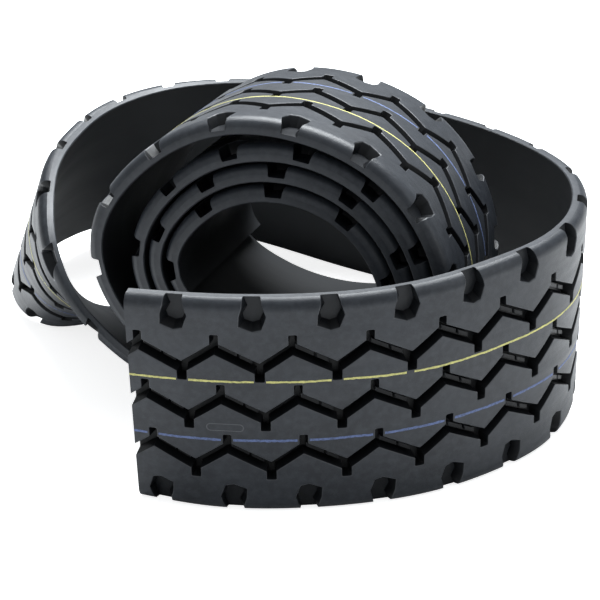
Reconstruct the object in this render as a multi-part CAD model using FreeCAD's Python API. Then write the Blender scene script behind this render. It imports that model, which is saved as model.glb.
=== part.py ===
"""A loose coil of precured tread strip, the rubber that is bonded onto a worn truck tyre.

One moulded strip stands on its edge as a wide loop, twists over at the left and winds four turns
into a roll.  The rubber is modelled in lengths that meet face to face, because a strip that bends
round so many hollows can't be one simple body.  Release film covers the base side, and two coloured
lines run along the tread.  The free end flexes outwards about an upright axis.

Units are millimetres.  +Z is up, +Y points away from the front of the loop.
"""
import FreeCAD, Part
import math
import os

# Strip
STRIP_WIDTH = 230.0
FILM_THICKNESS = 0.4
FILM_MARGIN = 1.5                # bare rubber left along each edge
BASE_COLUMNS = 6                 # flats side by side across the base, so that it can follow the twist
TREAD_HEIGHT = 17.0              # film and rubber together, base side to tread surface
PITCH = 70.0                     # one repeat of the pattern
STEPS_PER_PITCH = 7
STEP = PITCH / STEPS_PER_PITCH

# Tread pattern, measured across the strip from the top or near edge
GROOVE_LINES = (61.0, 115.0, 169.0)
ZIGZAG_SWING = 11.0              # to each side of a groove's line
GROOVE_HALF_WIDTH = 6.5
GROOVE_HALF_FLOOR = 3.5
GROOVE_FLOOR_HEIGHT = 4.0
FALLING_STEPS = 4                # of the seven, the rest run back up
FIRST_VERTEX_STEP = 1            # the first upper vertex along the strip
SHOULDER_REACH = 9.0             # bevel across the shoulder
SHOULDER_DROP = 8.0
POCKET_REACH = 32.0
POCKET_FLOOR_HEIGHT = 6.5
NEAR_POCKET_STEPS = (2, 3)       # counted from an upper vertex
FAR_POCKET_STEPS = (0, 1)

# Marking lines
LINE_WIDTH = 2.0
LINE_THICKNESS = 0.3
LINES = {"yellow_line": 85.0, "blue_line": 149.5}

# Route of the base side: top or near edge, then bottom or far edge, from the free end onwards.
# Points are measured from a corner on the floor in front of the loop, ORIGIN_AT in those measures.
ORIGIN_AT = FreeCAD.Vector(-21.1, 321.85, -0.33)
ROUTE = (
    ((-158, 30, 230), (-153, 43, 0)),
    ((-93, 20, 230), (-90, 23, 0)),
    ((-8, 18, 230), (-6, 18, 0)),
    ((60, 28, 230), (62, 27, 0)),
    ((124, 53, 230), (128, 47, 0)),
    ((182, 92, 230), (190, 83, 0)),
    ((232, 136, 230), (240, 129, 0)),
    ((264, 185, 230), (268, 181, 0)),
    ((280, 245, 230), (281, 243, 0)),
    ((275, 310, 230), (275, 310, 0)),
    ((245, 370, 230), (245, 370, 0)),
    ((195, 428, 230), (195, 428, 0)),
    ((130, 480, 230), (130, 484, 0)),
    ((55, 525, 230), (50, 535, 0)),
    ((-30, 560, 230), (-28, 588, 0)),
    ((-112, 560, 230), (-115, 625, 5)),
    ((-172, 535, 230), (-200, 630, 12)),
    ((-218, 485, 227), (-270, 588, 20)),
    ((-244, 425, 223), (-315, 520, 20)),
    ((-261, 350, 213), (-327, 448, 16)),
    ((-261, 285, 191), (-308, 400, 14)),
    ((-252, 238, 165), (-276, 378, 16)),
    ((-233, 210, 134), (-232, 384, 20)),
    ((-206, 195, 104), (-182, 394, 22)),
    ((-168, 174, 76), (-132, 395, 22)),
    ((-115, 148, 54), (-75, 386, 20)),
)

# Roll: an oval spiral about a leaning axis, flattened where it lies on the floor
ROLL_CENTRE = FreeCAD.Vector(-27, 130, 168)      # in the middle of the near face
ROLL_YAW = 17.0
ROLL_LEAN = 6.5
ROLL_TILT = -10.0                                # of the oval, in its own plane
ROLL_TURNS = 4
SIDE_RADIUS = 96.0
SIDE_PITCH = 18.8
TOP_RADIUS = 87.0
TOP_PITCH = 20.5
BOTTOM_RADIUS = 41.0
BOTTOM_PITCH = 18.8
POINTS_PER_TURN = 12
# The outermost turn stands off by this much: turns from the inner end, millimetres
SLACK = ((0.0, 0.0), (2.8, 0.0), (3.0, 6.0), (3.25, 27.0), (3.5, 2.0), (3.75, 0.0), (4.0, 6.0))

# Lengths of strip in pitches, from the free end; the route runs on a little past the inner end
LENGTHS = (
    ("free_end", 4),
    ("flex_length", 2),
    ("right_bend", 6),
    ("back_run", 5),
    ("left_bend", 3),
    ("left_twist", 5),
    ("turn_1_rising", 7),
    ("turn_1_falling", 7),
    ("turn_2_rising", 7),
    ("turn_2_falling", 6),
    ("turn_3_rising", 6),
    ("turn_3_falling", 5),
    ("turn_4", 5),
)


def between(table, x):
    """Straight-line value at x in a table of (x, value)."""
    for (x0, v0), (x1, v1) in zip(table, table[1:]):
        if x <= x1:
            return v0 + (v1 - v0) * (x - x0) / (x1 - x0)
    return table[-1][1]


def roll_axis():
    yaw, lean = math.radians(ROLL_YAW), math.radians(ROLL_LEAN)
    return FreeCAD.Vector(math.sin(yaw) * math.cos(lean), math.cos(yaw) * math.cos(lean), -math.sin(lean))


def roll_point(turns):
    """Near edge of the base side, so many turns out from the inner end, which lies at the bottom."""
    axis = roll_axis()
    yaw, tilt = math.radians(ROLL_YAW), math.radians(ROLL_TILT)
    across = FreeCAD.Vector(math.cos(yaw), -math.sin(yaw), 0)
    up = across.cross(axis)
    angle = 2 * math.pi * turns
    slack = between(SLACK, turns)
    if math.cos(angle) > 0:
        height = BOTTOM_RADIUS + BOTTOM_PITCH * turns + slack
    else:
        height = TOP_RADIUS + TOP_PITCH * turns + slack
    x = -(SIDE_RADIUS + SIDE_PITCH * turns + slack) * math.sin(angle)
    y = -height * math.cos(angle)
    return (ROLL_CENTRE + across * (x * math.cos(tilt) - y * math.sin(tilt))
            + up * (x * math.sin(tilt) + y * math.cos(tilt)))


def route_rows():
    """Middle of the base side and direction across the strip, at every point of the route."""
    edges = [(FreeCAD.Vector(*top), FreeCAD.Vector(*bottom)) for top, bottom in ROUTE]
    axis = roll_axis()
    for k in range(ROLL_TURNS * POINTS_PER_TURN, -1, -1):
        near = roll_point(k / POINTS_PER_TURN)
        edges.append((near, near + axis * STRIP_WIDTH))
    rows = []
    for top, bottom in edges:
        middle = (top + bottom) * 0.5 - ORIGIN_AT
        across = (bottom - top).normalize()
        rows.append((middle.x, middle.y, middle.z, across.x, across.y, across.z))
    return rows


def spline_bends(knots, values):
    """Second derivatives of the natural cubic spline through the values."""
    count = len(knots)
    gaps = [knots[i + 1] - knots[i] for i in range(count - 1)]
    upper = [0.0] * count
    bends = [0.0] * count
    for i in range(1, count - 1):
        slope_change = (values[i + 1] - values[i]) / gaps[i] - (values[i] - values[i - 1]) / gaps[i - 1]
        pivot = 2 * (gaps[i - 1] + gaps[i]) - gaps[i - 1] * upper[i - 1]
        upper[i] = gaps[i] / pivot
        bends[i] = (6 * slope_change - gaps[i - 1] * bends[i - 1]) / pivot
    for i in range(count - 2, 0, -1):
        bends[i] -= upper[i] * bends[i + 1]
    return bends


def spline_rows(rows, spacing):
    """Rows at a fine even spacing along the smooth curve through the given rows."""
    knots = [0.0]
    for a, b in zip(rows, rows[1:]):
        knots.append(knots[-1] + math.dist(a[:3], b[:3]))
    columns = list(zip(*rows))
    bends = [spline_bends(knots, column) for column in columns]
    fine = []
    for i in range(len(knots) - 1):
        gap = knots[i + 1] - knots[i]
        pieces = int(gap / spacing) + 1
        for j in range(pieces):
            b = j / pieces
            a = 1 - b
            fine.append([a * c[i] + b * c[i + 1]
                         + ((a ** 3 - a) * m[i] + (b ** 3 - b) * m[i + 1]) * gap * gap / 6
                         for c, m in zip(columns, bends)])
    fine.append([c[-1] for c in columns])
    return fine


def stations():
    """Middle, direction across and outward direction at every step along the strip."""
    fine = spline_rows(route_rows(), 0.5)
    marks = [fine[0]]
    run = 0.0
    for a, b in zip(fine, fine[1:]):
        length = math.dist(a[:3], b[:3])
        while run + length >= STEP:
            share = (STEP - run) / length
            a = [p + (q - p) * share for p, q in zip(a, b)]
            marks.append(a)
            length = math.dist(a[:3], b[:3])
            run = 0.0
        run += length
    middles = [FreeCAD.Vector(*row[:3]) for row in marks]
    frames = []
    for i, row in enumerate(marks):
        across = FreeCAD.Vector(*row[3:]).normalize()
        along = middles[min(i + 1, len(middles) - 1)] - middles[max(i - 1, 0)]
        outward = across.cross(along).normalize()
        frames.append((middles[i], across, outward))
    return frames


FRAMES = stations()


def at(station, across, height):
    """Point on the strip: a station, millimetres from the top or near edge, height over the base."""
    middle, direction, outward = FRAMES[station]
    return middle + direction * (across - STRIP_WIDTH / 2) + outward * height


def zigzag(station):
    """Sideways swing of the grooves at a station."""
    step = (station - FIRST_VERTEX_STEP) % STEPS_PER_PITCH
    rising = STEPS_PER_PITCH - FALLING_STEPS
    if step <= FALLING_STEPS:
        return ZIGZAG_SWING * (2 * step / FALLING_STEPS - 1)
    return ZIGZAG_SWING * (1 - 2 * (step - FALLING_STEPS) / rising)


def pocket_step(station, steps):
    return (station - FIRST_VERTEX_STEP) % STEPS_PER_PITCH in steps


def flat_face(corners):
    return Part.Face(Part.makePolygon(corners + corners[:1]))


def faces_between(station, outline_here, outline_there):
    """Faces from one station's outline of (across, height) to the next one's, closed all round.

    A quad that isn't flat becomes two triangles.  Its diagonal always runs outwards across the strip
    from this station to the next, so faces that lie on each other are split the same way.
    """
    here = [at(station, w, h) for w, h in outline_here]
    there = [at(station + 1, w, h) for w, h in outline_there]
    faces = []
    for k in range(len(here)):
        n = (k + 1) % len(here)
        a, b, c, d = here[k], there[k], there[n], here[n]
        if outline_here[n][0] < outline_here[k][0]:
            a, b, c, d = b, c, d, a
        if abs((d - a).dot((b - a).cross(c - a).normalize())) > 1e-7:
            faces += [flat_face([a, b, c]), flat_face([a, c, d])]
        else:
            faces += [flat_face([a, b, c, d])]
    return faces


def base_marks():
    """Edges of the flats across the base side, under the film."""
    share = (STRIP_WIDTH - 2 * FILM_MARGIN) / BASE_COLUMNS
    return [FILM_MARGIN + share * k for k in range(BASE_COLUMNS + 1)]


def sewn(faces):
    shell = Part.makeShell(faces)
    shell.sewShape()
    solid = Part.makeSolid(shell if shell.ShapeType == "Shell" else shell.Shells[0])
    if solid.Volume < 0:
        solid.reverse()
    return solid


def tread_outline(station, near_pocket, far_pocket):
    """Section of the rubber at a station, as (across, height) from the near edge round by the tread."""
    swing = zigzag(station)
    far = STRIP_WIDTH
    outline = [(0, FILM_THICKNESS), (0, POCKET_FLOOR_HEIGHT)]
    if near_pocket:
        outline += [(POCKET_REACH, POCKET_FLOOR_HEIGHT)]
    else:
        outline += [(0, TREAD_HEIGHT - SHOULDER_DROP), (SHOULDER_REACH, TREAD_HEIGHT)]
    outline += [(POCKET_REACH, TREAD_HEIGHT)]
    tops = [far - POCKET_REACH]
    for line in LINES.values():
        tops += [line - LINE_WIDTH / 2, line + LINE_WIDTH / 2]
    outline += [(w, TREAD_HEIGHT) for w in tops]
    for line in GROOVE_LINES:
        centre = line + swing
        outline += [(centre - GROOVE_HALF_WIDTH, TREAD_HEIGHT),
                    (centre - GROOVE_HALF_FLOOR, GROOVE_FLOOR_HEIGHT),
                    (centre + GROOVE_HALF_FLOOR, GROOVE_FLOOR_HEIGHT),
                    (centre + GROOVE_HALF_WIDTH, TREAD_HEIGHT)]
    head = 4 if near_pocket else 5
    outline = outline[:head] + sorted(outline[head:], key=lambda corner: corner[0])
    if far_pocket:
        outline += [(far - POCKET_REACH, POCKET_FLOOR_HEIGHT)]
    else:
        outline += [(far - SHOULDER_REACH, TREAD_HEIGHT), (far, TREAD_HEIGHT - SHOULDER_DROP)]
    outline += [(far, POCKET_FLOOR_HEIGHT), (far, FILM_THICKNESS)]
    return outline + [(w, FILM_THICKNESS) for w in reversed(base_marks())]


def pocket_wall(station, edge, inward):
    """Wall across a pocket's end, from its floor to the tread surface; inward is 1 or -1."""
    points = [(edge, POCKET_FLOOR_HEIGHT), (edge, TREAD_HEIGHT - SHOULDER_DROP),
              (edge + inward * SHOULDER_REACH, TREAD_HEIGHT), (edge + inward * POCKET_REACH, TREAD_HEIGHT),
              (edge + inward * POCKET_REACH, POCKET_FLOOR_HEIGHT)]
    return flat_face([at(station, w, h) for w, h in points])


def tread_solid(first, last):
    """The rubber between two stations."""
    faces = []
    was = None
    for i in range(first, last):
        pockets = (pocket_step(i, NEAR_POCKET_STEPS), pocket_step(i, FAR_POCKET_STEPS))
        here = tread_outline(i, *pockets)
        there = tread_outline(i + 1, *pockets)
        faces += faces_between(i, here, there)
        if was is not None:
            if pockets[0] != was[0]:
                faces += [pocket_wall(i, 0, 1)]
            if pockets[1] != was[1]:
                faces += [pocket_wall(i, STRIP_WIDTH, -1)]
        if i == first:
            faces += [flat_face([at(i, w, h) for w, h in here])]
        if i == last - 1:
            faces += [flat_face([at(i + 1, w, h) for w, h in there])]
        was = pockets
    return sewn(faces)


def band_solid(first, last, marks, low, high):
    """A thin band that lies along the strip between two stations, in flats between the marks."""
    outline = [(w, high) for w in marks] + [(w, low) for w in reversed(marks)]
    faces = []
    for i in range(first, last):
        faces += faces_between(i, outline, outline)
    for i in (first, last):
        faces += [flat_face([at(i, w, h) for w, h in outline])]
    return sewn(faces)


def write(name, solid):
    if not solid.isValid() or not solid.isClosed():
        raise ValueError(name + " is not a closed solid")
    solid.exportStep("parts/" + name + ".step")
    return solid.BoundBox


os.makedirs("parts", exist_ok=True)
box = FreeCAD.BoundBox()
start = 0
for name, pitches in LENGTHS:
    end = start + pitches * STEPS_PER_PITCH
    box.add(write("tread_" + name, tread_solid(start, end)))
    box.add(write("release_film_" + name, band_solid(start, end, base_marks(), 0, FILM_THICKNESS)))
    for line, across in LINES.items():
        marks = (across - LINE_WIDTH / 2, across + LINE_WIDTH / 2)
        high = TREAD_HEIGHT + LINE_THICKNESS
        box.add(write(line + "_" + name, band_solid(start, end, marks, TREAD_HEIGHT, high)))
    print(name, "stations", start, "to", end)
    start = end
print("strip length", STEP * start)
print("box", box)
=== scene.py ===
"""Looks of a loose coil of precured tread strip for retreading truck tyres.

Sizes are in millimetres until a mesh is made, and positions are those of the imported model.
Along the strip is counted from the free end, across it from the top or near edge, and height from
the film's outer face on the base side.
"""
import bpy
import math
import numpy as np
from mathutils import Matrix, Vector, geometry


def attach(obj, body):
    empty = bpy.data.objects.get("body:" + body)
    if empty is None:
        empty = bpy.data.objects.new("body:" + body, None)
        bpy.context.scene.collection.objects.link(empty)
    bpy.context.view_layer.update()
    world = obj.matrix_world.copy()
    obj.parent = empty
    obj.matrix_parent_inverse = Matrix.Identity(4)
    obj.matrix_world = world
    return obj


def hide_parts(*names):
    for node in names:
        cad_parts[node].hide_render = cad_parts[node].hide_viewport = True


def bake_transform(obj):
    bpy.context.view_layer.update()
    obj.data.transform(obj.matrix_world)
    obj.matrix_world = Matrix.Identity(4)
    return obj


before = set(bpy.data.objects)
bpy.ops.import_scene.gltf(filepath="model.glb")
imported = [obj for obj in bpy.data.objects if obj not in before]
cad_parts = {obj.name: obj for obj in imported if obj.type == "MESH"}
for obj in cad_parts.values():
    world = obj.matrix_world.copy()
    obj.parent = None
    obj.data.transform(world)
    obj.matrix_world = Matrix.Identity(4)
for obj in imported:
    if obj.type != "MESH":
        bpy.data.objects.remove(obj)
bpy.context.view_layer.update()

# Course of the strip.  One rubber strip stands on edge as a wide loop, twists over at the left and
# winds four turns into a roll, so every face of it follows the same smooth line through space.
STRIP_WIDTH = 230.0
STRIP_LENGTH = 4760.0
BEND_FROM, BEND_TO = 140, 560     # the length that bends when the free end swings
ROLL_FROM = 1750
ORIGIN_AT = np.array([-21.1, 321.85, -0.33])
ROUTE = np.array([
    ((-158, 30, 230), (-153, 43, 0)),
    ((-93, 20, 230), (-90, 23, 0)),
    ((-8, 18, 230), (-6, 18, 0)),
    ((60, 28, 230), (62, 27, 0)),
    ((124, 53, 230), (128, 47, 0)),
    ((182, 92, 230), (190, 83, 0)),
    ((232, 136, 230), (240, 129, 0)),
    ((264, 185, 230), (268, 181, 0)),
    ((280, 245, 230), (281, 243, 0)),
    ((275, 310, 230), (275, 310, 0)),
    ((245, 370, 230), (245, 370, 0)),
    ((195, 428, 230), (195, 428, 0)),
    ((130, 480, 230), (130, 484, 0)),
    ((55, 525, 230), (50, 535, 0)),
    ((-30, 560, 230), (-28, 588, 0)),
    ((-112, 560, 230), (-115, 625, 5)),
    ((-172, 535, 230), (-200, 630, 12)),
    ((-218, 485, 227), (-270, 588, 20)),
    ((-244, 425, 223), (-315, 520, 20)),
    ((-261, 350, 213), (-327, 448, 16)),
    ((-261, 285, 191), (-308, 400, 14)),
    ((-252, 238, 165), (-276, 378, 16)),
    ((-233, 210, 134), (-232, 384, 20)),
    ((-206, 195, 104), (-182, 394, 22)),
    ((-168, 174, 76), (-132, 395, 22)),
    ((-115, 148, 54), (-75, 386, 20)),
], float)
ROLL_CENTRE = np.array([-27.0, 130.0, 168.0])
ROLL_SLACK = ((0.0, 0.0), (2.8, 0.0), (3.0, 6.0), (3.25, 27.0), (3.5, 2.0), (3.75, 0.0), (4.0, 6.0))


def roll_edges():
    """Near and far edges of the roll's base side, from its outer end inwards."""
    yaw, lean, tilt = math.radians(17.0), math.radians(6.5), math.radians(-10.0)
    axis = np.array([math.sin(yaw) * math.cos(lean), math.cos(yaw) * math.cos(lean), -math.sin(lean)])
    across = np.array([math.cos(yaw), -math.sin(yaw), 0.0])
    up = np.cross(across, axis)
    turns = np.arange(48, -1, -1) / 12
    angle = 2 * math.pi * turns
    slack = np.interp(turns, *np.array(ROLL_SLACK).T)
    height = np.where(np.cos(angle) > 0, 41.0 + 18.8 * turns, 87.0 + 20.5 * turns) + slack
    x = -(96.0 + 18.8 * turns + slack) * np.sin(angle)
    y = -height * np.cos(angle)
    near = (ROLL_CENTRE + np.outer(x * math.cos(tilt) - y * math.sin(tilt), across)
            + np.outer(x * math.sin(tilt) + y * math.cos(tilt), up))
    return np.stack([near, near + axis * STRIP_WIDTH], axis=1)


def smooth_rows(rows, spacing):
    """Rows at a fine even spacing along the natural cubic spline through the given rows."""
    steps = np.linalg.norm(np.diff(rows[:, :3], axis=0), axis=1)
    count = len(rows)
    system = np.eye(count)
    right = np.zeros_like(rows)
    for i in range(1, count - 1):
        system[i, i - 1:i + 2] = steps[i - 1], 2 * (steps[i - 1] + steps[i]), steps[i]
        right[i] = 6 * ((rows[i + 1] - rows[i]) / steps[i] - (rows[i] - rows[i - 1]) / steps[i - 1])
    bends = np.linalg.solve(system, right)
    fine = []
    for i, gap in enumerate(steps):
        b = (np.arange(int(gap / spacing) + 1) / (int(gap / spacing) + 1))[:, None]
        a = 1 - b
        fine.append(a * rows[i] + b * rows[i + 1]
                    + ((a ** 3 - a) * bends[i] + (b ** 3 - b) * bends[i + 1]) * gap * gap / 6)
    return np.vstack(fine + [rows[-1:]])


edges = np.concatenate([ROUTE, roll_edges()])
leaning = edges[:, 1] - edges[:, 0]
course = smooth_rows(np.hstack([edges.mean(axis=1) - ORIGIN_AT,
                                leaning / np.linalg.norm(leaning, axis=1)[:, None]]), 0.5)
run = np.concatenate([[0.0], np.cumsum(np.linalg.norm(np.diff(course[:, :3], axis=0), axis=1))])
marks = np.arange(0.0, run[-1], 1.0)
course = np.stack([np.interp(marks, run, column) for column in course.T], axis=1)
middle = course[:, :3]
crosswise = course[:, 3:] / np.linalg.norm(course[:, 3:], axis=1)[:, None]
spot = np.arange(len(marks))
ahead = middle[np.minimum(spot + 5, len(marks) - 1)] - middle[np.maximum(spot - 5, 0)]
outward = np.cross(crosswise, ahead)
outward /= np.linalg.norm(outward, axis=1)[:, None]


def along_strip(values, s):
    return np.stack([np.interp(s, marks, column) for column in values.T], axis=1)


def laid(points):
    """Places (across, along, height) rows in millimetres on the course, in metres."""
    across, along, height = np.asarray(points, float).T[:3]
    return (along_strip(middle, along) + along_strip(crosswise, along) * (across - STRIP_WIDTH / 2)[:, None]
            + along_strip(outward, along) * height[:, None]) * 0.001


def blend_ends():
    """Middle of the strip where its bend ends on the coil, and where it ends on the tail."""
    return laid([(115, BEND_TO, 0)])[0].tolist(), laid([(115, BEND_FROM, 0)])[0].tolist()


def facing(points, turned):
    """Unit directions on the course, from (across, along, height) components at the given points."""
    along = np.asarray(points, float)[:, 1]
    out = along_strip(outward, along)
    side = along_strip(crosswise, along)
    lengthwise = np.cross(out, side)
    return side * turned[:, :1] + lengthwise * turned[:, 1:2] + out * turned[:, 2:]


# Tread rubber.  Carbon-black compound cured in a press: the tread's face is satin and a little
# dusty from handling, its rims are rubbed lighter and carry a painted highlight, and the moulded grooves stay
# near black, deepened by painted shade that darkens the grooves, tie bars, shoulder pockets and the roll's
# inner cut end.
TREAD_FACE = 16.9
RIM_INSETS, RIM_DROPS = (0.0, 0.45, 0.8), (0.0, 0.2, 0.7)
WALL_INSETS = (2.3, 3.0)         # at the fillet above a groove's floor, and at the floor
BASE = 0.4                       # base side of the rubber, where the film lies on it
BASE_RECESS = 1.2                # the same away from the edges, clear of the film
BASE_CHAMFER = 0.7               # width along both edges, up to BASE_EDGE
BASE_EDGE = 1.3
PITCH = 70.0
PITCHES = 68
ZIGZAG = 11.0
GROOVES = ((60.5, 0.0), (113.5, 4.5), (168.0, 9.0))     # middle line, and how far the pattern lags
UPPER_VERTEX = 10.5
FALL = 40.0
HALF_GROOVE = 7.5
GROOVE_FLOOR = 4.2
BAR_TOP = 9.6                    # tie bars across the falling legs
SHOULDER_ROUND = 12.0
SHOULDER_FALL = 9.0
SHOULDER_LINES = (0.0, 1.0, 2.4, 4.2, 6.4, 9.0, 12.0)
POCKET_RIM = ((0, -8), (8, -9.5), (16, -11.5), (27, -12.5), (32.5, 0.5), (30.5, 9.0), (17, 13.5), (0, 8.5))
POCKET_FLOOR = ((0, -7), (9, -3.5), (18, -8), (23.5, -6.5), (26.5, 0.8), (24.5, 7), (15, 11.3), (0, 7.6))
POCKET_BOTTOM = 5.6
POCKET_SHARES, POCKET_DROPS = (0.1, 0.22), (0.3, 1.3)
NEAR_POCKET = 44.0
FAR_POCKET = 25.0


def face_height(across):
    """Height of the tread's face, rounded off at both shoulders."""
    edge = np.minimum(across, STRIP_WIDTH - across)
    share = np.clip((SHOULDER_ROUND - edge) / SHOULDER_ROUND, 0, 1)
    return TREAD_FACE - SHOULDER_FALL * (1 - np.sqrt(np.maximum(1 - share ** 2, 0)))


def zigzag(groove, s):
    line, lag = groove
    phase = (s - UPPER_VERTEX - lag) % PITCH
    if phase < FALL:
        return line + ZIGZAG * (2 * phase / FALL - 1)
    return line + ZIGZAG * (1 - 2 * (phase - FALL) / (PITCH - FALL))


def groove_edges(groove, inset):
    """Upper and lower edge of a groove over one pitch as (across, along), moved in by inset."""
    line, lag = groove
    half = HALF_GROOVE - 1.2 * inset
    upper, lower = UPPER_VERTEX + lag, UPPER_VERTEX + lag + FALL
    slot, deep_slot = 4.4 - 0.7 * inset, 5.1 - 0.7 * inset
    top = line - ZIGZAG - HALF_GROOVE - 7.2 + inset
    low = line + ZIGZAG + HALF_GROOVE + 6.6 - inset
    above = [(zigzag(groove, 0) - half, 0), (zigzag(groove, upper - slot) - half, upper - slot),
             (top + 0.9, upper - slot), (top, upper - slot + 0.9), (top, upper + slot - 0.9),
             (top + 0.9, upper + slot), (zigzag(groove, upper + slot) - half, upper + slot),
             (line + ZIGZAG - half, lower), (zigzag(groove, PITCH) - half, PITCH)]
    below = [(zigzag(groove, 0) + half, 0), (line - ZIGZAG + half, upper),
             (zigzag(groove, lower - deep_slot) + half, lower - deep_slot),
             (low - 0.9, lower - deep_slot), (low, lower - deep_slot + 0.9), (low, lower + deep_slot - 0.9),
             (low - 0.9, lower + deep_slot),
             (zigzag(groove, lower + deep_slot) + half, lower + deep_slot),
             (zigzag(groove, PITCH) + half, PITCH)]
    return np.array(above, float), np.array(below, float)


def cut_at(rows, along_marks, across_marks):
    """Adds points to matching rows wherever the first one crosses a mark."""
    cut = [[row[0]] for row in rows]
    for j in range(len(rows[0]) - 1):
        a, b = rows[0][j], rows[0][j + 1]
        shares = set()
        for axis, lines in ((1, along_marks), (0, across_marks)):
            if abs(b[axis] - a[axis]) > 1e-6:
                shares |= {round((line - a[axis]) / (b[axis] - a[axis]), 7) for line in lines}
        for share in sorted(share for share in shares if 1e-4 < share < 1 - 1e-4) + [1.0]:
            for row, longer in zip(rows, cut):
                longer.append(row[j] + (row[j + 1] - row[j]) * share)
    return [np.array(row) for row in cut]


def inside(polygon, points):
    """Which points lie inside a closed polygon."""
    x, y = points.T
    odd = np.zeros(len(points), bool)
    for (x0, y0), (x1, y1) in zip(polygon, np.roll(polygon, -1, axis=0)):
        if y0 != y1:
            odd ^= ((y0 > y) != (y1 > y)) & (x < x0 + (y - y0) * (x1 - x0) / (y1 - y0))
    return odd


class Patch:
    """Faces of one pitch: points are (across, along, height, shade depth, eased edge); the shade depth is
    painted shade that mostly grows with depth below the face, and the eased edge's share is rubbed lighter
    with a painted highlight.
    """

    def __init__(self):
        self.points, self.faces, self.shaped = [], [], []

    def add(self, points, faces, shaped=False):
        start = len(self.points)
        self.points += [tuple(p) for p in points]
        self.faces += [[start + i for i in face] for face in faces]
        self.shaped += [shaped] * len(faces)

    def loft(self, rows, heights, shade_depths, edges, closed=False, flip=False):
        """Walls through matching rows, the interior of the hollow on the left of the rows' direction."""
        count = len(rows[0])
        points = []
        for row, height, shade_depth, edge in zip(rows, heights, shade_depths, edges):
            points += [(w, s, h, shade_depth, edge) for (w, s), h in zip(row, np.broadcast_to(height, count))]
        faces = []
        for r in range(len(rows) - 1):
            for i in range(count if closed else count - 1):
                n = (i + 1) % count
                quad = [r * count + i, r * count + n, (r + 1) * count + n, (r + 1) * count + i]
                faces.append(quad[::-1] if flip else quad)
        self.add(points, faces)

    def fill(self, outline, height, shade_depth):
        """A flat floor inside an outline."""
        found = geometry.delaunay_2d_cdt([Vector(p) for p in outline], [],
                                         [list(range(len(outline)))], 1, 1e-5)
        triangles = [f if (found[0][f[1]] - found[0][f[0]]).cross(found[0][f[2]] - found[0][f[0]]) > 0
                     else f[::-1] for f in found[2]]
        self.add([(p.x, p.y, height, shade_depth, 0.0) for p in found[0]], triangles)

    def block(self, plan, low, high):
        """A moulded block that stands on a groove's floor, with its top edges eased."""
        plan = np.array(plan, float)
        shrunk = plan.mean(axis=0) + (plan - plan.mean(axis=0)) * 0.9
        # Painted shade keeps the block's sides and top near black, and its top edge is rubbed lighter with a
        # painted highlight.
        self.loft([plan, plan, shrunk], [low, high - 0.5, high], [1.0, 0.55, 0.93], [0, 1, 0],
                  closed=True, flip=True)
        start = len(self.points) - len(plan)
        self.faces.append(list(range(start, start + len(plan))))
        self.shaped.append(False)


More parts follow.
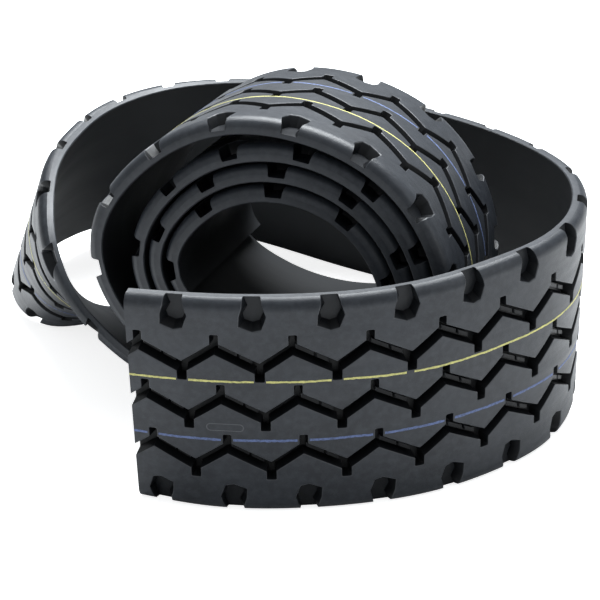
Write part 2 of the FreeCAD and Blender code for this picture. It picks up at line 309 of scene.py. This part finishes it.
def one_pitch():
    """One repeat of the tread: grooves, tie bars, shoulder pockets, edges, face and base side."""
    patch = Patch()
    cross_marks = np.arange(5.0, PITCH, 5.0)
    shoulder = list(SHOULDER_LINES) + [STRIP_WIDTH - w for w in SHOULDER_LINES]
    plan, lines, hollows = [], [], []

    def outline(points):
        start = len(plan)
        plan.extend(Vector(p) for p in points)
        lines.extend((start + i, start + i + 1) for i in range(len(points) - 1))

    for groove in GROOVES:
        edges = [groove_edges(groove, inset) for inset in RIM_INSETS + WALL_INSETS]
        above = cut_at([e[0] for e in edges], cross_marks, ())
        below = cut_at([e[1] for e in edges], cross_marks, ())
        heights = [TREAD_FACE - drop for drop in RIM_DROPS] + [GROOVE_FLOOR + 0.9, GROOVE_FLOOR]
        # Painted shade: the groove's walls and floor run from the face's colour to near black, while the
        # rim's eased row is rubbed lighter with a painted highlight.
        shade_depths = [0.0, 0.1, 0.9, 1.0, 1.0]
        eased = [0.0, 1.0, 0.0, 0.0, 0.0]
        patch.loft(above, heights, shade_depths, eased, flip=True)
        patch.loft(below, heights, shade_depths, eased)
        patch.fill(np.vstack([above[-1][::-1], below[-1]]), GROOVE_FLOOR, 1.0)
        outline(above[0])
        outline(below[0])
        hollows.append(np.vstack([above[0], below[0][::-1]]))
        falling = UPPER_VERTEX + groove[1]
        for start, end in ((falling + 3.0, falling + 19.0), (falling + 21.5, falling + 33.0)):
            w0, w1 = zigzag(groove, start), zigzag(groove, end)
            patch.block([(w0 - 3.0, start), (w0 + 1.6, start), (w1 + 1.6, end), (w1 - 3.0, end)],
                        GROOVE_FLOOR - 0.2, BAR_TOP)
    for edge, turn, centre in ((0.0, 1.0, NEAR_POCKET), (STRIP_WIDTH, -1.0, FAR_POCKET)):
        rim = np.array(POCKET_RIM, float) * turn + (edge, centre)
        floor = np.array(POCKET_FLOOR, float) * turn + (edge, centre)
        rows = cut_at([rim] + [rim + (floor - rim) * share for share in POCKET_SHARES] + [floor],
                      cross_marks, shoulder)
        rows[1][[0, -1], 0] = rows[2][[0, -1], 0] = edge
        top = face_height(rows[0][:, 0])
        wall = [top] + [top - drop for drop in POCKET_DROPS] + [np.full(len(top), POCKET_BOTTOM)]
        # Painted shade darkens the pocket's walls and, less, its floor; its rim is rubbed lighter with a
        # painted highlight.
        patch.loft(rows, wall, [0.0, 0.1, 0.8, 0.9], [0.0, 1.0, 0.2, 0.0])
        patch.fill(rows[-1], POCKET_BOTTOM, 0.65)
        outline(rows[0])
        hollows.append(rows[0])

        # The strip's edge from end to end, which dips to the pocket's floor where the pocket opens
        order = np.argsort([rows[0][0, 1], rows[0][-1, 1]])
        first, last = (0, -1) if order[0] == 0 else (-1, 0)
        bound = [(s, face_height(edge)) for s in cross_marks if s < rows[0][first, 1] - 0.1]
        bound = [(0.0, face_height(edge))] + bound
        bound += [(row[first, 1], h[first]) for row, h in zip(rows, wall)]
        bound += [(row[last, 1], h[last]) for row, h in zip(rows[::-1], wall[::-1])]
        bound += [(s, face_height(edge)) for s in cross_marks if s > rows[0][last, 1] + 0.1]
        bound += [(PITCH, face_height(edge))]
        ledge = np.array([(edge, s) for s, h in bound])
        lip = ledge + (turn * BASE_CHAMFER, 0.0)
        # The side face is rubbed lighter with a painted highlight towards the base edge, and the chamfer
        # under it carries a little painted shade.
        patch.loft([ledge, ledge, lip], [[h for s, h in bound], BASE_EDGE, BASE],
                   [0.0, 0.0, 0.2], [0.0, 0.3, 0.0], flip=turn > 0)

    for w in shoulder:
        outline([(w, 0.0), (w, PITCH)])
    for s in np.concatenate([[0.0], cross_marks, [PITCH]]):
        outline([(0.0, s), (STRIP_WIDTH, s)])
    found = geometry.delaunay_2d_cdt(plan, lines, [], 0, 1e-4)
    spots = np.array([tuple(p) for p in found[0]])
    triangles = np.array(found[2])
    middles = spots[triangles].mean(axis=1)
    kept = ~np.any([inside(hollow, middles) for hollow in hollows], axis=0)
    a, b, c = (spots[triangles[:, i]] for i in range(3))
    turning = (b - a)[:, 0] * (c - a)[:, 1] - (b - a)[:, 1] * (c - a)[:, 0]
    kept &= np.abs(turning) > 1e-6
    triangles = [list(t) if turn > 0 else list(t[::-1]) for t, turn in zip(triangles[kept], turning[kept])]
    patch.add([(w, s, float(face_height(w)), 0.0, 0.0) for w, s in spots], triangles, shaped=True)

    back = np.concatenate([[0.0], cross_marks, [PITCH]])
    across = [BASE_CHAMFER, 2.5, 4.0, STRIP_WIDTH - 4.0, STRIP_WIDTH - 2.5, STRIP_WIDTH - BASE_CHAMFER]
    patch.loft([[(w, s) for s in back] for w in across], [BASE, BASE, BASE_RECESS, BASE_RECESS, BASE, BASE],
               [0.2] * 6, [0] * 6, flip=True)
    return patch


def cut_face(along, end):
    """The strip's cut end: its whole section as one flat face."""
    outline = [(STRIP_WIDTH / 2, BASE), (BASE_CHAMFER, BASE), (0.0, BASE_EDGE)]
    outline += [(w, float(face_height(w))) for w in SHOULDER_LINES]
    for groove in GROOVES:
        rows = [groove_edges(groove, inset) for inset in RIM_INSETS + WALL_INSETS]
        heights = [TREAD_FACE - drop for drop in RIM_DROPS] + [GROOVE_FLOOR + 0.9, GROOVE_FLOOR]
        outline += [(row[0][0, 0], h) for row, h in zip(rows, heights)]
        outline += [(row[1][0, 0], h) for row, h in zip(rows[::-1], heights[::-1])]
    outline += [(STRIP_WIDTH - w, float(face_height(w))) for w in SHOULDER_LINES[::-1]]
    outline += [(STRIP_WIDTH, BASE_EDGE), (STRIP_WIDTH - BASE_CHAMFER, BASE)]
    # The cut face gets painted shade: a little at the free end and near black at the inner end inside the
    # roll.
    points = [(w, along, h, 0.1 if end == "free" else 0.9, 0.0) for w, h in outline]
    order = list(range(len(points)))
    return points, [order[::-1] if end == "free" else order]


def strip_mesh(name, points, faces, normals=None, sharp=35.0):
    """A mesh laid on the course, with painted shade depth, eased edge share (rubbed wear and painted
    highlight) and strip position kept for the finish.
    """
    used = np.unique(np.concatenate([np.asarray(f) for f in faces]))
    renumber = np.full(len(points), -1)
    renumber[used] = np.arange(len(used))
    points = points[used]
    mesh = bpy.data.meshes.new(name)
    mesh.from_pydata(laid(points[:, :3]).tolist(), [], [renumber[np.asarray(f)].tolist() for f in faces])
    mesh.polygons.foreach_set("use_smooth", np.ones(len(mesh.polygons), bool))
    mesh.set_sharp_from_angle(angle=math.radians(sharp))
    if points.shape[1] > 3:
        for label, column in (("shade_depth", 3), ("eased", 4)):
            finish = mesh.attributes.new(label, "FLOAT", "POINT")
            finish.data.foreach_set("value", points[:, column].astype(np.float32))
    strip = mesh.attributes.new("strip", "FLOAT_VECTOR", "POINT")
    strip.data.foreach_set("vector", (points[:, [1, 0, 2]] * 0.001).astype(np.float32).ravel())
    if normals is not None:
        mesh.normals_split_custom_set(normals.tolist())
    piece = bpy.data.objects.new(name, mesh)
    bpy.context.scene.collection.objects.link(piece)
    return piece


tread_rubber = bpy.data.materials.new("tread_rubber")
tread_rubber.use_nodes = True
nodes, links = tread_rubber.node_tree.nodes, tread_rubber.node_tree.links


def wired(nodes, links, kind, values=(), inputs=(), **settings):
    """A node with its settings, fixed values and incoming links."""
    node = nodes.new(kind)
    for key, value in settings.items():
        setattr(node, key, value)
    for key, value in dict(values).items():
        node.inputs[key].default_value = value
    for key, source in dict(inputs).items():
        links.new(source, node.inputs[key])
    return node


shader = nodes["Principled BSDF"]
place = wired(nodes, links, "ShaderNodeAttribute", attribute_name="strip")
shade_depth = wired(nodes, links, "ShaderNodeAttribute", attribute_name="shade_depth")
eased = wired(nodes, links, "ShaderNodeAttribute", attribute_name="eased")
clouds = wired(nodes, links, "ShaderNodeTexNoise", {"Scale": 14.0, "Detail": 6.0, "Roughness": 0.6},
               {"Vector": place.outputs["Vector"]})
mottle = wired(nodes, links, "ShaderNodeTexNoise", {"Scale": 130.0, "Detail": 5.0, "Roughness": 0.65},
               {"Vector": place.outputs["Vector"]})
stretched = wired(nodes, links, "ShaderNodeMapping", {"Scale": (6.0, 90.0, 20.0)},
                  {"Vector": place.outputs["Vector"]})
scuffs = wired(nodes, links, "ShaderNodeTexNoise", {"Scale": 1.0, "Detail": 8.0, "Roughness": 0.7},
               {"Vector": stretched.outputs["Vector"]})
face_tint = wired(nodes, links, "ShaderNodeValToRGB", (), {"Fac": clouds.outputs["Fac"]})
face_tint.color_ramp.elements[0].position = 0.3
face_tint.color_ramp.elements[0].color = (0.012, 0.0145, 0.019, 1)
face_tint.color_ramp.elements[1].position = 0.72
face_tint.color_ramp.elements[1].color = (0.023, 0.027, 0.034, 1)
dust = wired(nodes, links, "ShaderNodeMapRange", {"From Min": 0.42, "From Max": 0.75,
             "To Min": 0.0, "To Max": 0.6},
             {"Value": mottle.outputs["Fac"]})
dusty = wired(nodes, links, "ShaderNodeMix", {"B": (0.042, 0.047, 0.056, 1)},
              {"Factor": dust.outputs["Result"], "A": face_tint.outputs["Color"]}, data_type="RGBA")
# Painted highlight with rubbed wear: eased edges are mixed towards a lighter grey.
rubbed_and_highlight_share = wired(nodes, links, "ShaderNodeMath", {1: 0.6}, {0: eased.outputs["Fac"]},
                     operation="MULTIPLY")
rubbed_and_highlit = wired(nodes, links, "ShaderNodeMix", {"B": (0.12, 0.125, 0.135, 1)},
               {"Factor": rubbed_and_highlight_share.outputs[0], "A": dusty.outputs["Result"]}, data_type="RGBA")
# Painted shade: faces are mixed towards near black by their shade depth, which grows into the grooves,
# pockets and tie bars and on the roll's inner cut end.
moulded_and_painted_shade = wired(nodes, links, "ShaderNodeMix", {"B": (0.0028, 0.0031, 0.0037, 1)},
                {"Factor": shade_depth.outputs["Fac"], "A": rubbed_and_highlit.outputs["Result"]}, data_type="RGBA")
links.new(moulded_and_painted_shade.outputs["Result"], shader.inputs["Base Color"])
satin = wired(nodes, links, "ShaderNodeMapRange", {"From Min": 0.3, "From Max": 0.7,
              "To Min": 0.36, "To Max": 0.52},
              {"Value": scuffs.outputs["Fac"]})
skin = wired(nodes, links, "ShaderNodeMix", {"B": 0.36},
             {"Factor": shade_depth.outputs["Fac"], "A": satin.outputs["Result"]})
links.new(skin.outputs["Result"], shader.inputs["Roughness"])
shine = wired(nodes, links, "ShaderNodeMapRange", {"From Min": 0.0, "From Max": 1.0,
              "To Min": 0.42, "To Max": 0.16},
              {"Value": shade_depth.outputs["Fac"]})
links.new(shine.outputs["Result"], shader.inputs["Specular IOR Level"])
grain = wired(nodes, links, "ShaderNodeTexNoise", {"Scale": 900.0, "Detail": 4.0, "Roughness": 0.6},
              {"Vector": place.outputs["Vector"]})
fine = wired(nodes, links, "ShaderNodeBump", {"Strength": 0.45, "Distance": 0.0004},
             {"Height": grain.outputs["Fac"]})
swell = wired(nodes, links, "ShaderNodeTexNoise", {"Scale": 45.0, "Detail": 3.0},
              {"Vector": place.outputs["Vector"]})
broad = wired(nodes, links, "ShaderNodeBump", {"Strength": 0.35, "Distance": 0.0012},
              {"Height": swell.outputs["Fac"], "Normal": fine.outputs["Normal"]})
drag = wired(nodes, links, "ShaderNodeBump", {"Strength": 0.12, "Distance": 0.0004},
             {"Height": scuffs.outputs["Fac"], "Normal": broad.outputs["Normal"]})
links.new(drag.outputs["Normal"], shader.inputs["Normal"])

patch = one_pitch()
pitch_points = np.array(patch.points)
tread_points = np.concatenate([pitch_points + (0, PITCH * k, 0, 0, 0) for k in range(PITCHES)])
tread_faces = [[i + k * len(pitch_points) for i in face] for k in range(PITCHES) for face in patch.faces]
shaped = patch.shaped * PITCHES
for along, end in ((0.0, "free"), (STRIP_LENGTH, "inner")):
    cap_points, cap_faces = cut_face(along, end)
    tread_faces += [[i + len(tread_points) for i in face] for face in cap_faces]
    tread_points = np.concatenate([tread_points, cap_points])
    shaped += [False] * len(cap_faces)

# A blank oval plaque stands on the rib between the second and third groove near the free end
round_plaque = np.radians(np.arange(0, 360, 10))
rings = []
# The plaque's raised rim is rubbed lighter with a painted highlight.
for grow, lift in ((0.0, -0.05), (-0.3, 0.35), (-1.0, 0.38), (-1.4, 0.06), (-2.2, 0.06)):
    rings.append([(134.5 + (4.4 + grow) * math.sin(t), 88.0 + math.copysign(13.0, math.cos(t))
                   + (4.4 + grow) * math.cos(t), TREAD_FACE + lift, 0.0, 1.0 if lift > 0.3 else 0.0)
                  for t in round_plaque])
first = len(tread_points)
tread_points = np.concatenate([tread_points] + [np.array(ring) for ring in rings])
count = len(round_plaque)
tread_faces += [[first + r * count + i, first + r * count + (i + 1) % count,
                 first + (r + 1) * count + (i + 1) % count, first + (r + 1) * count + i]
                for r in range(len(rings) - 1) for i in range(count)]
tread_faces.append([first + (len(rings) - 1) * count + i for i in range(count)])
shaped += [False] * ((len(rings) - 1) * count + 1)

# Points that meet become one, except where a floor's finish, its painted shade, differs from its wall's
keys = np.round(tread_points * (500, 500, 500, 20, 1)).astype(np.int64)
kept, joined = np.unique(keys, axis=0, return_index=True, return_inverse=True)[1:]
joined = joined.ravel()
tread_points = tread_points[kept]
cleaned, cleaned_shaped = [], []
for face, is_shaped in zip(tread_faces, shaped):
    face = [int(joined[i]) for i in face]
    face = [i for n, i in enumerate(face) if i != face[n - 1]]
    if len(face) > 2 and len(set(face)) == len(face):
        cleaned.append(face)
        cleaned_shaped.append(is_shaped)
middles = np.array([tread_points[face, 1].mean() for face in cleaned])
slope_step = 0.01
for name, low, high, body in (("tread_tail", -1, BEND_FROM, "tail"), ("tread_flex", BEND_FROM, BEND_TO, None),
                              ("tread_loop", BEND_TO, ROLL_FROM, "coil"),
                              ("tread_roll", ROLL_FROM, STRIP_LENGTH + 1, "coil")):
    chosen = [i for i in np.nonzero((middles > low) & (middles <= high))[0]]
    faces = [cleaned[i] for i in chosen]
    corners = np.concatenate([np.asarray(f) for f in faces])
    own = np.concatenate([np.full(len(f), cleaned_shaped[i]) for f, i in zip(faces, chosen)])
    spots = tread_points[corners]
    across = np.clip(spots[:, 0], 0.25, STRIP_WIDTH - 0.25)
    slope = (face_height(across + slope_step) - face_height(across - slope_step)) / (2 * slope_step)
    turned = np.stack([-slope, np.zeros(len(slope)), np.ones(len(slope))], axis=1)
    turned /= np.linalg.norm(turned, axis=1)[:, None]
    normals = facing(spots, turned) * own[:, None]
    piece = strip_mesh(name, tread_points, faces, normals)
    piece.data.materials.append(tread_rubber)
    if body:
        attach(piece, body)
    else:
        start, end = blend_ends()
        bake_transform(piece)
    replaced = {"tread_tail": ["free_end"], "tread_flex": ["flex_length"],
                "tread_loop": ["right_bend", "back_run", "left_bend", "left_twist"],
                "tread_roll": ["turn_1_rising", "turn_1_falling", "turn_2_rising", "turn_2_falling",
                               "turn_3_rising", "turn_3_falling", "turn_4"]}[name]
    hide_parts(*["tread_" + length for length in replaced])

# Release film.  Thin black polyethylene pressed onto the buffed base side, which keeps it clean and
# peels off before bonding.  It lies close, with a faint lengthwise drag and a soft sheen.
FILM_MARGIN = 1.5
FILM_THICKNESS = 0.4
release_film = bpy.data.materials.new("release_film")
release_film.use_nodes = True
nodes, links = release_film.node_tree.nodes, release_film.node_tree.links
shader = nodes["Principled BSDF"]
shader.inputs["Specular IOR Level"].default_value = 0.25
place = wired(nodes, links, "ShaderNodeAttribute", attribute_name="strip")
stretched = wired(nodes, links, "ShaderNodeMapping", {"Scale": (3.0, 25.0, 1.0)},
                  {"Vector": place.outputs["Vector"]})
streaks = wired(nodes, links, "ShaderNodeTexNoise", {"Scale": 1.0, "Detail": 6.0, "Roughness": 0.6},
                {"Vector": stretched.outputs["Vector"]})
clouds = wired(nodes, links, "ShaderNodeTexNoise", {"Scale": 9.0, "Detail": 4.0},
               {"Vector": place.outputs["Vector"]})
blend_tint = wired(nodes, links, "ShaderNodeMix", (),
                   {"Factor": clouds.outputs["Fac"], "A": streaks.outputs["Fac"], "B": clouds.outputs["Fac"]})
film_tint = wired(nodes, links, "ShaderNodeValToRGB", (), {"Fac": blend_tint.outputs["Result"]})
film_tint.color_ramp.elements[0].position = 0.3
film_tint.color_ramp.elements[0].color = (0.0070, 0.0080, 0.0092, 1)
film_tint.color_ramp.elements[1].position = 0.75
film_tint.color_ramp.elements[1].color = (0.0135, 0.0150, 0.0172, 1)
links.new(film_tint.outputs["Color"], shader.inputs["Base Color"])
sheen = wired(nodes, links, "ShaderNodeMapRange", {"From Min": 0.3, "From Max": 0.7,
              "To Min": 0.52, "To Max": 0.64},
              {"Value": streaks.outputs["Fac"]})
links.new(sheen.outputs["Result"], shader.inputs["Roughness"])
pebble = wired(nodes, links, "ShaderNodeTexNoise", {"Scale": 700.0, "Detail": 3.0},
               {"Vector": place.outputs["Vector"]})
close_lying = wired(nodes, links, "ShaderNodeBump", {"Strength": 0.15, "Distance": 0.0003},
                    {"Height": pebble.outputs["Fac"]})
dragged = wired(nodes, links, "ShaderNodeBump", {"Strength": 0.06, "Distance": 0.0005},
                {"Height": streaks.outputs["Fac"], "Normal": close_lying.outputs["Normal"]})
links.new(dragged.outputs["Normal"], shader.inputs["Normal"])

film_across = np.linspace(FILM_MARGIN, STRIP_WIDTH - FILM_MARGIN, 13)
for name, low, high, body, replaced in (
        ("film_tail", 0, BEND_FROM, "tail", ["free_end"]),
        ("film_flex", BEND_FROM, BEND_TO, None, ["flex_length"]),
        ("film_loop", BEND_TO, ROLL_FROM, "coil", ["right_bend", "back_run", "left_bend", "left_twist"]),
        ("film_roll", ROLL_FROM, STRIP_LENGTH, "coil",
         ["turn_1_rising", "turn_1_falling", "turn_2_rising", "turn_2_falling", "turn_3_rising",
          "turn_3_falling", "turn_4"])):
    film_along = np.arange(low, high + 1, 2.5)
    section = [(w, 0.0) for w in film_across]
    section += [(film_across[-1], FILM_THICKNESS), (film_across[0], FILM_THICKNESS)]
    points = np.array([(w, s, h) for s in film_along for w, h in section])
    count = len(section)
    faces = [[r * count + i, (r + 1) * count + i,
              (r + 1) * count + (i + 1) % count, r * count + (i + 1) % count]
             for r in range(len(film_along) - 1) for i in range(count)]
    faces += [list(range(count)), list(range((len(film_along) - 1) * count, len(film_along) * count))[::-1]]
    corners = np.concatenate([np.asarray(f) for f in faces])
    flat = np.repeat([i % count < 12 for i in range(len(faces) - 2)] + [False, False],
                     [len(f) for f in faces])
    normals = facing(points[corners], np.tile((0.0, 0.0, -1.0), (len(corners), 1))) * flat[:, None]
    piece = strip_mesh(name, points, faces, normals)
    piece.data.materials.append(release_film)
    if body:
        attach(piece, body)
    else:
        start, end = blend_ends()
        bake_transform(piece)
    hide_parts(*["release_film_" + length for length in replaced])

# Marking lines.  Paint run onto the cured tread from two wheels, one yellow and one blue, so that
# stock can be told apart.  Each wanders a little, has soft ragged edges, and breaks over a slot.
for line, across, ink, worn_ink, groove, vertex, reach, thinnest in (
        ("yellow_line", 84.6, (0.64, 0.61, 0.22, 1), (0.40, 0.38, 0.15, 1),
         GROOVES[0], UPPER_VERTEX + FALL, 5.3, 0.8),
        ("blue_line", 148.6, (0.125, 0.170, 0.34, 1), (0.070, 0.092, 0.16, 1),
         GROOVES[2], UPPER_VERTEX, 4.8, 1.0)):
    paint = bpy.data.materials.new(line + "_paint")
    paint.use_nodes = True
    nodes, links = paint.node_tree.nodes, paint.node_tree.links
    shader = nodes["Principled BSDF"]
    shader.inputs["Specular IOR Level"].default_value = 0.35
    place = wired(nodes, links, "ShaderNodeAttribute", attribute_name="strip")
    flecks = wired(nodes, links, "ShaderNodeTexNoise", {"Scale": 420.0, "Detail": 5.0, "Roughness": 0.7},
                   {"Vector": place.outputs["Vector"]})
    cover = wired(nodes, links, "ShaderNodeValToRGB", (), {"Fac": flecks.outputs["Fac"]})
    cover.color_ramp.elements[0].position = 0.36
    cover.color_ramp.elements[0].color = worn_ink
    cover.color_ramp.elements[1].position = 0.56
    cover.color_ramp.elements[1].color = ink
    links.new(cover.outputs["Color"], shader.inputs["Base Color"])
    chalky = wired(nodes, links, "ShaderNodeMapRange", {"To Min": 0.5, "To Max": 0.8},
                   {"Value": flecks.outputs["Fac"]})
    links.new(chalky.outputs["Result"], shader.inputs["Roughness"])
    lumpy = wired(nodes, links, "ShaderNodeBump", {"Strength": 0.4, "Distance": 0.0003},
                  {"Height": flecks.outputs["Fac"]})
    links.new(lumpy.outputs["Normal"], shader.inputs["Normal"])
    rng = np.random.default_rng(7 if line == "yellow_line" else 11)
    stops = np.arange(0.0, STRIP_LENGTH + 1.25, 1.25)
    coarse = np.arange(0.0, STRIP_LENGTH + 40, 23.0)
    fine_marks = np.arange(0.0, STRIP_LENGTH + 40, 2.5)
    wander = np.interp(stops, coarse, rng.normal(0, 0.25, len(coarse)))
    # Past the free end the yellow line drifts clear of most of the slots' ends
    if line == "yellow_line":
        wander += np.interp(stops, (200, 290), (0.0, 3.1))
    half_left = thinnest + 0.25 + np.interp(stops, fine_marks, rng.normal(0, 0.16, len(fine_marks)))
    half_right = thinnest + 0.25 + np.interp(stops, fine_marks, rng.normal(0, 0.16, len(fine_marks)))
    phase = (stops - vertex - groove[1] + PITCH / 2) % PITCH - PITCH / 2
    slot_end = groove[0] + ZIGZAG + HALF_GROOVE + 6.6
    clear_of_slot = (across + wander - half_left > slot_end + 0.2) & (line == "yellow_line")
    painted = (np.abs(phase) > reach) | clear_of_slot
    for tag, low, high, body, replaced in (
            ("tail", 0, BEND_FROM, "tail", ["free_end"]),
            ("flex", BEND_FROM, BEND_TO, None, ["flex_length"]),
            ("loop", BEND_TO, ROLL_FROM, "coil", ["right_bend", "back_run", "left_bend", "left_twist"]),
            ("roll", ROLL_FROM, STRIP_LENGTH, "coil",
             ["turn_1_rising", "turn_1_falling", "turn_2_rising", "turn_2_falling", "turn_3_rising",
              "turn_3_falling", "turn_4"])):
        points, faces = [], []
        for i in range(len(stops) - 1):
            if stops[i] < low or stops[i + 1] > high or not (painted[i] and painted[i + 1]):
                continue
            start = len(points)
            for j in (i, i + 1):
                left = across + wander[j] - max(half_left[j], 0.3)
                right = across + wander[j] + max(half_right[j], 0.3)
                for w, h in ((left, 0.01), (left + 0.3, 0.13), (right - 0.3, 0.13), (right, 0.01)):
                    points.append((w, stops[j], TREAD_FACE + h))
            faces += [[start + k, start + k + 1, start + 5 + k, start + 4 + k] for k in range(3)]
        points = np.array(points)
        keys = np.round(points * 1000).astype(np.int64)
        kept, joined = np.unique(keys, axis=0, return_index=True, return_inverse=True)[1:]
        joined = joined.ravel()
        faces = [[int(joined[i]) for i in face] for face in faces]
        piece = strip_mesh(line + "_" + tag, points[kept], faces, sharp=80.0)
        piece.data.materials.append(paint)
        if body:
            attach(piece, body)
        else:
            start, end = blend_ends()
            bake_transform(piece)
        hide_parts(*[line + "_" + length for length in replaced])

# Studio.  A white floor that also glows to the camera, so that shadows stay faint.  Soft boxes stand
# above and behind, at the front left and at the right, with the camera a little above the coil.
floor_mesh = bpy.data.meshes.new("floor")
floor_mesh.from_pydata([(-6, -4, 0), (6, -4, 0), (6, 8, 0), (-6, 8, 0)], [], [(0, 1, 2, 3)])
floor = bpy.data.objects.new("floor", floor_mesh)
bpy.context.scene.collection.objects.link(floor)
floor_paint = bpy.data.materials.new("floor_paint")
floor_paint.use_nodes = True
floor_paint.node_tree.nodes["Principled BSDF"].inputs["Base Color"].default_value = (0.9, 0.9, 0.9, 1)
floor_paint.node_tree.nodes["Principled BSDF"].inputs["Roughness"].default_value = 0.9
nodes, links = floor_paint.node_tree.nodes, floor_paint.node_tree.links
seen = wired(nodes, links, "ShaderNodeLightPath")
glow = wired(nodes, links, "ShaderNodeMath", {1: 0.78}, {0: seen.outputs["Is Camera Ray"]},
             operation="MULTIPLY")
nodes["Principled BSDF"].inputs["Emission Color"].default_value = (1.0, 1.0, 1.0, 1)
links.new(glow.outputs[0], nodes["Principled BSDF"].inputs["Emission Strength"])
floor.data.materials.append(floor_paint)

world = bpy.data.worlds.new("studio")
world.use_nodes = True
world.node_tree.nodes["Background"].inputs["Color"].default_value = (0.93, 0.97, 1.0, 1)
world.node_tree.nodes["Background"].inputs["Strength"].default_value = 0.4
bpy.context.scene.world = world
bpy.context.scene.view_settings.view_transform = "Standard"

for name, place_at, aim, power, size in (
        ("top_box", (0.15, 0.9, 2.0), (0.0, 0.0, 0.1), 135.0, (1.8, 1.1)),
        ("front_box", (-1.4, -1.8, 2.0), (0.0, -0.1, 0.1), 4.2, (1.2, 1.2)),
        ("right_box", (1.9, -0.9, 1.3), (0.1, 0.0, 0.1), 7.5, (0.7, 1.4))):
    light = bpy.data.lights.new(name, "AREA")
    light.shape = "RECTANGLE"
    light.size, light.size_y = size
    light.energy = power
    light.color = (0.94, 0.975, 1.0)
    box_light = bpy.data.objects.new(name, light)
    box_light.location = place_at
    box_light.rotation_euler = (Vector(aim) - Vector(place_at)).to_track_quat("-Z", "Y").to_euler()
    bpy.context.scene.collection.objects.link(box_light)

camera_data = bpy.data.cameras.new("camera")
camera_data.lens = 108.0
camera_data.sensor_width = 36.0
camera = bpy.data.objects.new("camera", camera_data)
camera.location = (0.0211, -1.77215, 0.98743)
camera.rotation_euler = (math.radians(62.5), 0.0, 0.0)
bpy.context.scene.collection.objects.link(camera)
bpy.context.scene.camera = camera
